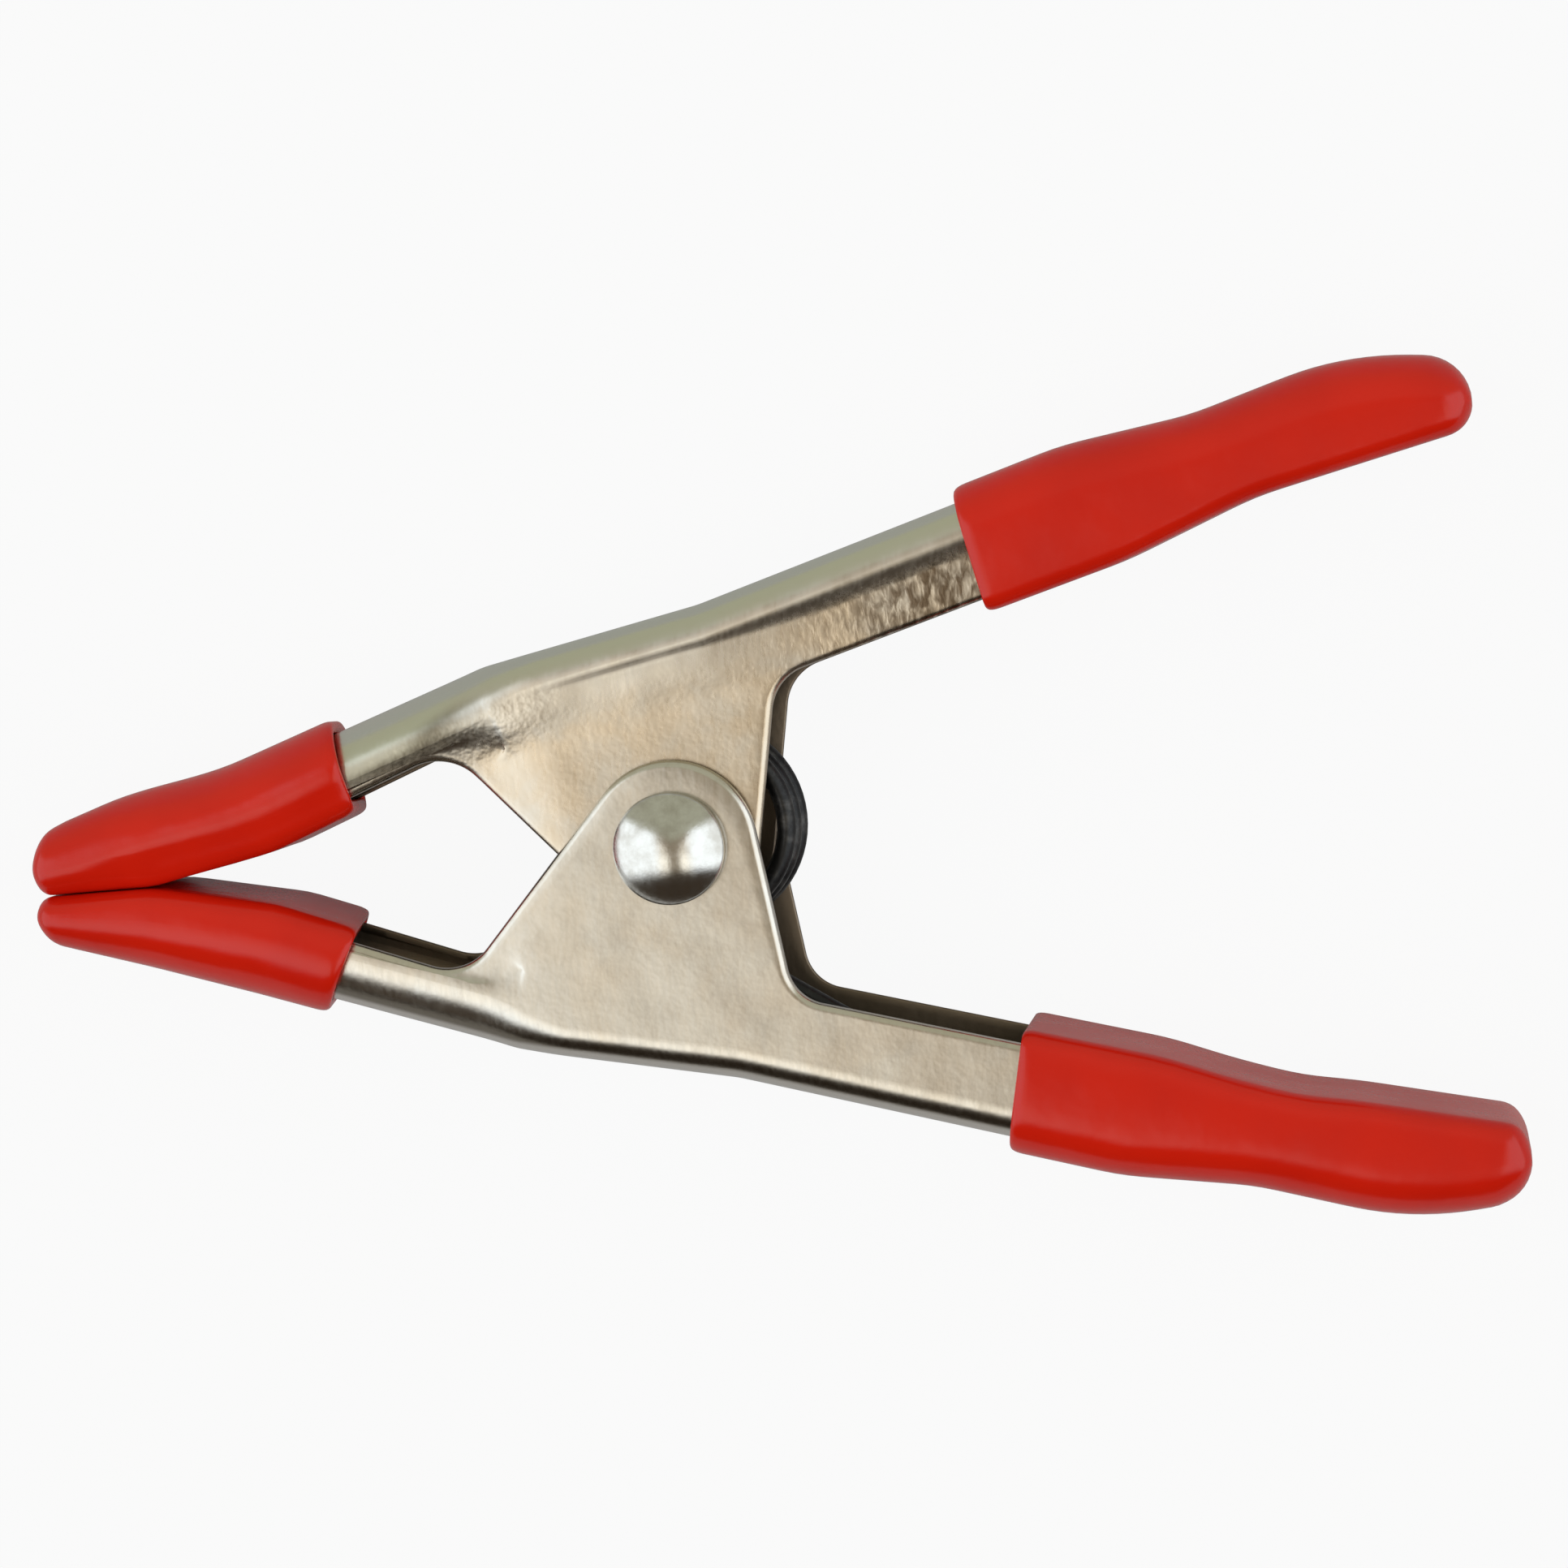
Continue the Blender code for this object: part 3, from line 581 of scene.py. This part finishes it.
plating = {
    "light": (0.665, 0.635, 0.58), "warm": (0.65, 0.60, 0.525), "field": (0.645, 0.545, 0.42),
    # On the next line, all painted reflection: an olive band along the upper lever's back, then a
    # dark band and a light strip along the lower lever's back; the dark colour also tints the
    # plate's speckle.
    "back": (0.66, 0.66, 0.57), "under": (0.25, 0.22, 0.18), "paintedHeelLight": (0.68, 0.64, 0.59),
    # On the next line, the first colour darkens the channel's inner skin, which has duller plating
    # there and also painted shade; the second is painted shade on the upper jaw arm.
    "inside": (0.22, 0.175, 0.13), "dullSmearAndPaintedShade": (0.21, 0.20, 0.155), "brown": (0.17, 0.125, 0.085),
    "rough": (0.21, 0.27), "relief": 0.09,
    # widths of the blotches and grain, in mm
    "cloud": 8.0, "mottle": 1.3, "streak": 0.45, "peel": 0.75, "wrinkle": 0.85, "wave": 6.0,
}
# where each tint or mark comes in: x or the depth below the back, in mm
pressMarks = {
    "armX": (3, 27), "jawX": (-22, -31), "dirtX": (9, 32),
    "paintedBackEdge": (3.3, 1.2), "jawPaintedBackMore": (3.0, 2.0),         # painted olive reflection along the back, wider at the jaw
    "cornerRamp": ((-6.5, -1.5), (6.0, 0.5)), "cornerInset": (3.0, 5.5),
    "cornerX": ((-50, -38), (-8, -17)),                        # the dark patch on the slope
    "creaseInset": ((2.3, 3.3), (6.6, 5.4)), "creaseX": (4, 26),
    # painted shade: a dark band on the upper jaw arm's side, about 2 to 8 mm below the back, full
    # towards the jaw tip
    "paintedArmShadeInset": ((2.0, 4.0), (8.0, 5.0)), "paintedArmShadeX": (-16, -28),
}
# speckle is the plate's grain; the two edges bound a painted dark reflection band along the lower
# lever's back and a painted light strip right at the back
satinMarks = {"speckle": 0.13, "underEdge": (2.9, 1.9), "paintedHeelLightEdge": (1.5, 0.8)}


def platedSteel(name, s, pressed):
    material, t = newMaterial(name)
    place = t.place()
    clouds = t.noise(place, s["cloud"], 3, 0.55, 0.3)
    mottle = t.noise(t.stretch(place, (1.0, 0.6, 1.0)), s["mottle"], 4, 0.62, 0.4)
    streaks = t.noise(t.stretch(place, (1.0, 0.12, 1.0)), s["streak"], 2, 0.6)
    peel = t.noise(place, s["peel"], 1, 0.4)
    waves = t.noise(place, s["wave"], 1, 0.4)
    inset, inside = t.stored("inset"), t.stored("inside")
    colour = t.mix(t.step(clouds + streaks * 0.08, 0.42, 0.70), s["light"], s["warm"])
    rough = t.step(streaks, 0.3, 0.7, *s["rough"])
    height = waves * 1.0 + streaks * 0.02 + peel * 0.03
    if pressed:
        p = pressMarks
        x, y, _ = t.split(place)
        x, y = x * 1000, y * 1000                             # metres to mm
        wrinkles = t.noise(t.stretch(place, (1.0, 0.4, 1.0)), s["wrinkle"], 2, 0.55, 0.3)
        field = t.step(t.stored("pressed"), 0.2, 0.7)
        arm = t.step(x, *p["armX"]) * field
        colour = t.mix(field, colour, t.mix(t.step(clouds, 0.35, 0.7), s["field"], s["warm"]))
        ramp = acrossRamp(joggle, x, y)
        jaw = t.step(x, *p["jawX"])

        def band(value, edges):
            return t.step(value, *edges[0]) * t.step(value, *edges[1])

        corner = band(ramp, p["cornerRamp"]) * t.step(inset, *p["cornerInset"])
        corner = corner * t.step(x, *p["cornerX"][0]) * t.step(x, *p["cornerX"][1])
        crease = band(inset, p["creaseInset"]) * t.step(x, *p["creaseX"])
        # brown mottle over the upper lever's plate, denser on the slope's dark corner patch and
        # along the crease
        brownMottle = t.step(mottle * 0.6 + corner * 0.15 + crease * 0.10, 0.46, 0.98)
        dirt = t.step(x, *p["dirtX"]) * field
        dirt = t.step(wrinkles + dirt * 0.2, 0.46, 0.84) * dirt
        # painted shade: a dark band across the upper jaw arm's side
        dullSmearAndPaintedShade = band(inset, p["paintedArmShadeInset"]) * t.step(x, *p["paintedArmShadeX"])
        colour = t.mix(dullSmearAndPaintedShade * 0.9, colour, s["dullSmearAndPaintedShade"])
        colour = t.mix(brownMottle * 0.85, colour, s["brown"])
        colour = t.mix(dirt, colour, s["brown"])
        height = height + peel * (field * 0.2 + corner * 0.4) + wrinkles * arm * 0.8
        # painted olive reflection: the upper lever's back band is tinted olive, wider at the jaw
        (edge, clear), (more, clearMore) = p["paintedBackEdge"], p["jawPaintedBackMore"]
        onBack = t.step(inset, edge + jaw * more, clear + jaw * clearMore)
        colour = t.mix(onBack, colour, s["back"])
        rough = rough + field * 0.05
    else:
        p = satinMarks
        colour = t.mix(t.step(mottle, 0.42, 0.72) * p["speckle"], colour, s["under"])
        height = height + peel * 0.08
        # painted reflection: a dark band along the lower lever's back, and a light strip right at
        # the back
        colour = t.mix(t.step(inset, *p["underEdge"]), colour, s["under"])
        colour = t.mix(t.step(inset, *p["paintedHeelLightEdge"]), colour, s["paintedHeelLight"])
    # the channel's inner skin darker and rougher: duller plating there, and painted shade
    colour = t.mix(inside, colour, s["inside"])
    rough = rough + inside * 0.2
    t.finish({"Base Color": colour, "Metallic": 1.0, "Roughness": rough,
              "Normal": t.bump(height, s["relief"])})
    return material


satinSteel = platedSteel("satin nickel plate", plating, False)
peeledSteel = platedSteel("orange peel nickel plate", plating, True)
for label, side, steel in (("lower", -1, satinSteel), ("upper", 1, peeledSteel)):
    made = leverSheet(f"{label}_lever_sheet", side, label == "upper", lever[label], steel)
    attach(made, f"{label}_half")
    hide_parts(f"{label}_lever")
    print(made.name, len(made.data.polygons), "faces")


sleeve = {
    "wall": 1.4, "tipWall": 3.6, "room": 0.3, "edgeRound": 1.9, "tipRound": 3.0,
    "edgeShare": 0.36, "backShare": 0.62,      # a corner's most radius, as a share of the height
    "spacing": 1.5, "cornerSteps": 8, "flatSteps": 6, "tipSteps": 10, "innerTipSteps": 4,
    "bend": 34, "faceCorner": 0.4,
    # the tip's closing rings: their size and how far they lie behind the tip
    "tipDome": ((1.0, 0.25), (0.85, 0.14), (0.6, 0.06), (0.3, 0.01), (0.08, 0)),
    # the lip's rings: their distance from the mouth, and 0 on the outer skin to 1 on the inner
    "lip": ((1.0, 0.02), (0.6, 0.07), (0.3, 0.15), (0.1, 0.27), (0.0, 0.42), (0.0, 0.80),
            (0.05, 0.95), (0.15, 1.08), (0.35, 1.12), (0.6, 1.08)),
    "noseX": (50, 66), "noseHeight": 6.5, "sagX": (58, 76), "sagDepth": 3,
    # nose fills out the top of a jaw's tip, sag the groove side of a grip's tip
    "slant": 0.0, "nose": 0.0, "sag": 0.0,
    "upperJaw": {"backX": -37.6, "edgeX": -36.2, "slant": 2.4, "crown": 0.8, "nose": 1.8},
    "lowerJaw": {"backX": -40.8, "edgeX": -37.4, "slant": 2.4, "crown": 0.8},
    "upperGrip": {"backX": 35.1, "edgeX": 37.4, "crown": 0.75},
    "lowerGrip": {"backX": 35.1, "edgeX": 37.4, "crown": 0.75, "sag": 0.85},
}


class Walk:
    # a path that is asked for the point at a share of its length
    def __init__(self, points):
        self.points = np.array(points)
        self.lengths = lengthsOf(self.points)

    def at(self, share):
        wanted = share * self.lengths[-1]
        return np.array([np.interp(wanted, self.lengths, self.points[:, axis]) for axis in (0, 1)])


def sectionRing(skin, edge, back, place, slant=0):
    # one closed ring of the skin at a share of the way from the mouth
    s, half = sleeve, skin["half"]
    height = np.hypot(*(back.at(place) - edge.at(place)))
    arcs = []
    for quarter, facing in enumerate((1, -1, -1, 1)):
        onBack = quarter < 2
        radius = min(skin["backRound"], s["backShare"] * height)
        if not onBack:
            radius = min(skin["edgeRound"], s["edgeShare"] * height)
        arc = []
        for angle in np.linspace(quarter, quarter + 1, s["cornerSteps"] + 1) * math.pi / 2:
            rise = (height - radius if onBack else radius) + radius * math.sin(angle)
            arc.append((rise / height, facing * (half - radius) + radius * math.cos(angle)))
        arcs.append(np.array(arc))
    ring = []
    for arc, following in zip(arcs, arcs[1:] + arcs[:1]):
        ring.append(arc)
        ring.append(np.linspace(arc[-1], following[0], s["flatSteps"] + 1)[1:-1])
    grow, (lean, leanFrom) = skin["grow"], skin["lean"]
    points = []
    for rise, depth in np.concatenate(ring):
        along = place + slant * (1 - place) * (1 - depth / half) / 2
        low, high = edge.at(along), back.at(along)
        x, y = low + (high - low) * rise
        inward = skin["crown"] * (2 * rise - 1) ** 2
        inward += lean * leanShare((1 - rise) * height - grow, leanFrom, height - 2 * grow)
        points.append((x, y, depth * (1 - inward / half)))
    return np.array(points)


def sleeveSkin(s, corners, tip, lean, outer):
    # the skin's rings from near the mouth to the tip, and the ring at any distance
    grow = s["room"] + (s["wall"] if outer else 0)
    distances = [grow] * (len(corners) - 1) + [0]
    distances[tip] = s["room"] + (s["tipWall"] if outer else 0)
    arcs = cornerArcs(grownOutline(corners, distances))
    back = Walk([p for arc in arcs[:tip] for p in arc] + [arcs[tip][0]])
    edge = Walk([p for arc in arcs[:tip + 1:-1] for p in arc[::-1]] + [arcs[tip + 1][-1]])
    length = math.dist(back.points[0], back.points[-1])
    skin = {
        "half": lever["halfWidth"] + grow, "grow": grow, "lean": lean,
        "edgeRound": s["edgeRound"] if outer else s["room"],
        "backRound": (lever["jawBend"] if tip == 1 else lever["cornerRadius"]) + grow,
        "crown": s["crown"] if outer else 0,
    }

    def ringAt(distance):
        return sectionRing(skin, edge, back, distance / length, s["slant"] / length)

    count = math.ceil(length / s["spacing"])
    rings = [ringAt(distance) for distance in np.linspace(s["spacing"], length, count)[:-1]]
    tipEdge, tipBack = Walk(arcs[tip + 1][::-1]), Walk(arcs[tip])
    for share in np.linspace(0, 1, s["tipSteps"] if outer else s["innerTipSteps"]):
        narrowed = dict(skin)
        if outer:
            narrowed["half"] -= s["tipRound"] * (1 - math.cos(share * math.pi / 2))
        elif share > 0:
            narrowed["backRound"] = skin["edgeRound"]
        rings.append(sectionRing(narrowed, tipEdge, tipBack, share))
    if outer:
        last = rings.pop()
        centre = last.mean(axis=0)
        outward = np.array([math.copysign(1, centre[0]), 0, 0])
        for share, sunk in s["tipDome"]:
            rings.append(centre + (last - centre) * share - outward * sunk)
    return rings, ringAt


def dippedSleeve(name, side, corners, tip, own, lean, material):
    # an outer and an inner skin, a rounded lip that closes on the steel, and a full round tip
    s = {**sleeve, **own}
    outerRings, outerAt = sleeveSkin(s, corners, tip, lean, True)
    innerRings, innerAt = sleeveSkin(s, corners, tip, lean, False)
    lip = [outerAt(distance) * (1 - share) + innerAt(distance) * share
           for distance, share in s["lip"]]
    outerRings = np.array(outerRings)
    x, y = outerRings[..., 0], outerRings[..., 1]
    grooveSide = np.clip((y.mean(axis=1, keepdims=True) - y) / s["sagDepth"], 0, 1)
    fill = s["nose"] * smooth(-x, *s["noseX"]) * np.clip(y / s["noseHeight"], 0, 1)
    outerRings[..., 1] += fill - s["sag"] * smooth(x, *s["sagX"]) * grooveSide
    rings = np.concatenate([outerRings[::-1], lip, innerRings]) * (1, side, 1)
    return meshPiece(name, rings.reshape(-1, 3), gridFaces(*rings.shape[:2]), material)


vinyl = {
    "red": (0.66, 0.013, 0.003), "deep": (0.60, 0.010, 0.002), "rough": (0.17, 0.25), "ior": 1.42,
    "cloud": 14.0, "ripple": 4.0, "wave": 10.0, "grain": 0.35, "relief": 0.12,
}


def redVinyl(s):
    material, t = newMaterial("dipped red vinyl")
    place = t.place()
    clouds = t.noise(place, s["cloud"], 3, 0.5)
    ripples = t.noise(place, s["ripple"], 2, 0.5)
    waves = t.noise(place, s["wave"], 1, 0.4)
    grain = t.noise(place, s["grain"], 3, 0.6)
    t.finish({
        "Base Color": t.mix(t.step(clouds, 0.3, 0.7), s["red"], s["deep"]),
        "Roughness": t.step(clouds * 0.6 + grain * 0.4, 0.3, 0.7, *s["rough"]),
        "IOR": s["ior"],
        "Normal": t.bump(waves * 2.4 + ripples * 0.8 + grain * 0.06, s["relief"], 0.7)})
    return material


def sleeveCorners(s, which):
    # the steel's outline from the mouth round the tip, and which corner starts the tip
    backX, edgeX = sleeve[which]["backX"], sleeve[which]["edgeX"]
    if which.endswith("Grip"):
        corners = [
            (backX, lineHeight(s["crown"], s["palmStart"], backX), 0),
            *((*s[bend][:2], sleeve["bend"]) for bend in ("palmStart", "palmWaist", "palmSwell")),
            (s["handleReach"], s["handleTipBack"], s["tipRadius"]),
            (s["handleReach"], s["handleTipEdge"], s["tipEdgeRadius"]),
            *((*s[bend][:2], sleeve["bend"]) for bend in ("grooveEnd", "grooveStart")),
            (edgeX, lineHeight(s["earShoulder"], s["grooveStart"], edgeX), 0)]
        return corners, 4
    tipBack = (-s["jawReach"], s["jawTipBack"], s["jawTipRadius"])
    corners = [
        (backX, lineHeight(tipBack, s["shoulder"], backX), 0), tipBack,
        (-s["jawReach"], s["jawFace"], sleeve["faceCorner"]), s["faceStart"], s["faceRise"],
        (edgeX, lineHeight(s["notch"], s["faceRise"], edgeX), 0)]
    return corners, 1


red = redVinyl(vinyl)
for label, side in (("lower", -1), ("upper", 1)):
    for part, which in (("jaw_sleeve", label + "Jaw"), ("handle_grip", label + "Grip")):
        corners, tip = sleeveCorners(lever, which)
        lean = lever[label]["lean"] if part == "jaw_sleeve" else (0, 0)
        made = dippedSleeve(f"{label}_{part}_vinyl", side, corners, tip, sleeve[which], lean, red)
        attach(made, f"{label}_half")
        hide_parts(f"{label}_{part}")
print("sleeves")


rivet = {
    "shank": 3.25, "domeRadius": 6.3, "domeHeight": 3.8, "capHeight": 2.5, "capInset": 0.05,
    "seat": 8.8, "tailRadius": 5.0, "tailChamfer": 0.5, "tailEnd": 10.2, "tailFlat": 2.0,
    "rimTop": ((0.02, 0.05), (0, 0.12)),             # in from the dome's radius, down from the cap
    "rimFoot": ((0, 0.24), (0.05, 0.08), (0.2, 0)),  # in from the dome's radius, up from the seat
    "fillet": 0.15, "tailBreak": 0.12, "capSteps": 24, "around": 96,
    "bright": (0.66, 0.655, 0.63), "dullSmearAndPaintedShade": (0.50, 0.48, 0.44), "rough": (0.12, 0.26),
    "smear": 2.4, "pit": 0.4, "relief": 0.05,
}


def rivetProfile(s):
    # a shallow cap on a short upright rim, the shank, and the upset tail
    radius, seat, shank = s["domeRadius"], s["seat"], s["shank"]
    capRadius = radius - s["capInset"]
    sphere = (capRadius ** 2 + s["capHeight"] ** 2) / (2 * s["capHeight"])
    top = seat + s["domeHeight"]
    last = math.asin(capRadius / sphere)
    profile = [(sphere * math.sin(a), top - sphere * (1 - math.cos(a)))
               for a in np.linspace(0, last, s["capSteps"])]
    low = profile[-1][1]
    profile += [(radius - inward, low - down) for inward, down in s["rimTop"]]
    profile += [(radius - inward, seat + up) for inward, up in s["rimFoot"]]
    profile += [(shank + s["fillet"], seat), (shank, seat - s["fillet"])]
    profile += [(shank, -seat + s["fillet"]), (shank + s["fillet"], -seat)]
    tail, end, chamfer = s["tailRadius"], -s["tailEnd"], s["tailChamfer"]
    profile += [(tail - s["tailBreak"], -seat), (tail, -seat - s["tailBreak"])]
    profile += [(tail - chamfer * (1 - math.cos(a)), end + chamfer * (1 - math.sin(a)))
                for a in np.radians((0, 22, 45, 68, 90))]
    return profile + [(s["tailFlat"], end), (0, end)]


def polishedSteel(s):
    material, t = newMaterial("polished rivet steel")
    place = t.place()
    smear = t.noise(place, s["smear"], 4, 0.6)
    pits = t.noise(place, s["pit"], 3, 0.6)
    t.finish({
        "Base Color": t.mix(t.step(smear, 0.35, 0.75), s["bright"], s["dullSmearAndPaintedShade"]),
        "Metallic": 1.0,
        "Roughness": t.step(smear * 0.7 + pits * 0.3, 0.3, 0.75, *s["rough"]),
        "Normal": t.bump(smear + pits * 0.1, s["relief"], 0.6)})
    return material


made = turnedPiece("pivot_rivet_turned", rivetProfile(rivet), polishedSteel(rivet), rivet["around"])
made.data.set_sharp_from_angle(angle=math.radians(50))
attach(made, "lower_half")
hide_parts("pivot_rivet")
print("rivet")


spring = {
    "wire": 2.2, "centre": (2.2, 1.7), "legReach": 36.0, "halfHeight": 4.4, "clear": 0.3,
    "radii": (10.3, 10.9), "widens": (0.25, 0.75),     # at the front and the far end of the coil
    "leastGap": 0.42, "perTurn": 64, "legSteps": 24, "around": 20,
    "endDome": ((0.94, 0.12), (0.8, 0.2), (0.4, 0.22)),    # size and reach of the ends' last rings
    "black": (0.018, 0.018, 0.019), "worn": (0.10, 0.095, 0.09), "metallic": 0.6,
    "rough": (0.28, 0.45), "wear": 3.0, "grain": 0.5, "relief": 0.03,
}


def springPoints(s):
    # in along the lower leg, round the coil and out along the upper leg
    inside = backPath(lever)
    moved = inside - leftNormals(inside, lengthsOf(inside)) * lever["sheet"]
    reach = s["legReach"]
    height, ahead = np.interp((reach, reach + 1), moved[:, 0], moved[:, 1])
    height -= (s["wire"] / 2 + s["clear"]) / math.cos(math.atan2(ahead - height, 1))
    lowEnd, highEnd = np.array([reach, -height]), np.array([reach, height])
    cx, cy = s["centre"]
    start = tangentAngle(lowEnd - s["centre"], s["radii"][0], -1)
    end = tangentAngle(highEnd - s["centre"], s["radii"][1], 1)
    part = ((start - end) / (2 * math.pi)) % 1
    drop = 2 * s["halfHeight"]
    turns = math.floor(drop / (s["wire"] + s["leastGap"]) - part) + part
    coil = []
    for share in np.linspace(0, 1, round(turns * s["perTurn"]) + 1):
        angle = start - 2 * math.pi * turns * share
        radius = between(s["radii"], smooth(share, *s["widens"]))
        coil.append((cx + radius * math.cos(angle), cy + radius * math.sin(angle),
                     s["halfHeight"] - drop * share))
    legIn = np.linspace((*lowEnd, s["halfHeight"]), coil[0], s["legSteps"])[:-1]
    legOut = np.linspace(coil[-1], (*highEnd, -s["halfHeight"]), s["legSteps"])[1:]
    return np.concatenate([legIn, coil, legOut])


def wireTube(name, s, points, material):
    ways = np.gradient(points, axis=0)
    ways /= np.linalg.norm(ways, axis=1)[:, None]
    angles = np.linspace(0, 2 * math.pi, s["around"], endpoint=False)
    rings = []
    for point, way in zip(points, ways):
        across = np.cross((0, 0, 1), way)
        across /= np.linalg.norm(across)
        rise = np.cross(way, across)
        rings.append([point + s["wire"] / 2 * (math.cos(a) * across + math.sin(a) * rise)
                      for a in angles])
    ends = []
    for ring, point, way in ((rings[0], points[0], -ways[0]), (rings[-1], points[-1], ways[-1])):
        ends.append([point + (np.array(ring) - point) * share + way * out
                     for share, out in s["endDome"]])
    rings = np.array(ends[0][::-1] + rings + ends[1])
    return meshPiece(name, rings.reshape(-1, 3), gridFaces(*rings.shape[:2]), material)


def blackWire(s):
    material, t = newMaterial("black oxide wire")
    place = t.place()
    wear = t.noise(place, s["wear"], 4, 0.6)
    grain = t.noise(place, s["grain"], 3, 0.6)
    t.finish({
        "Base Color": t.mix(t.step(wear, 0.45, 0.8), s["black"], s["worn"]),
        "Metallic": s["metallic"],
        "Roughness": t.step(grain, 0.3, 0.7, *s["rough"]),
        "Normal": t.bump(grain, s["relief"], 0.5)})
    return material


made = wireTube("torsion_spring_wire", spring, springPoints(spring), blackWire(spring))
made.data.set_sharp_from_angle(angle=math.radians(60))
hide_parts("torsion_spring")
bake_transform(made)
print("spring")
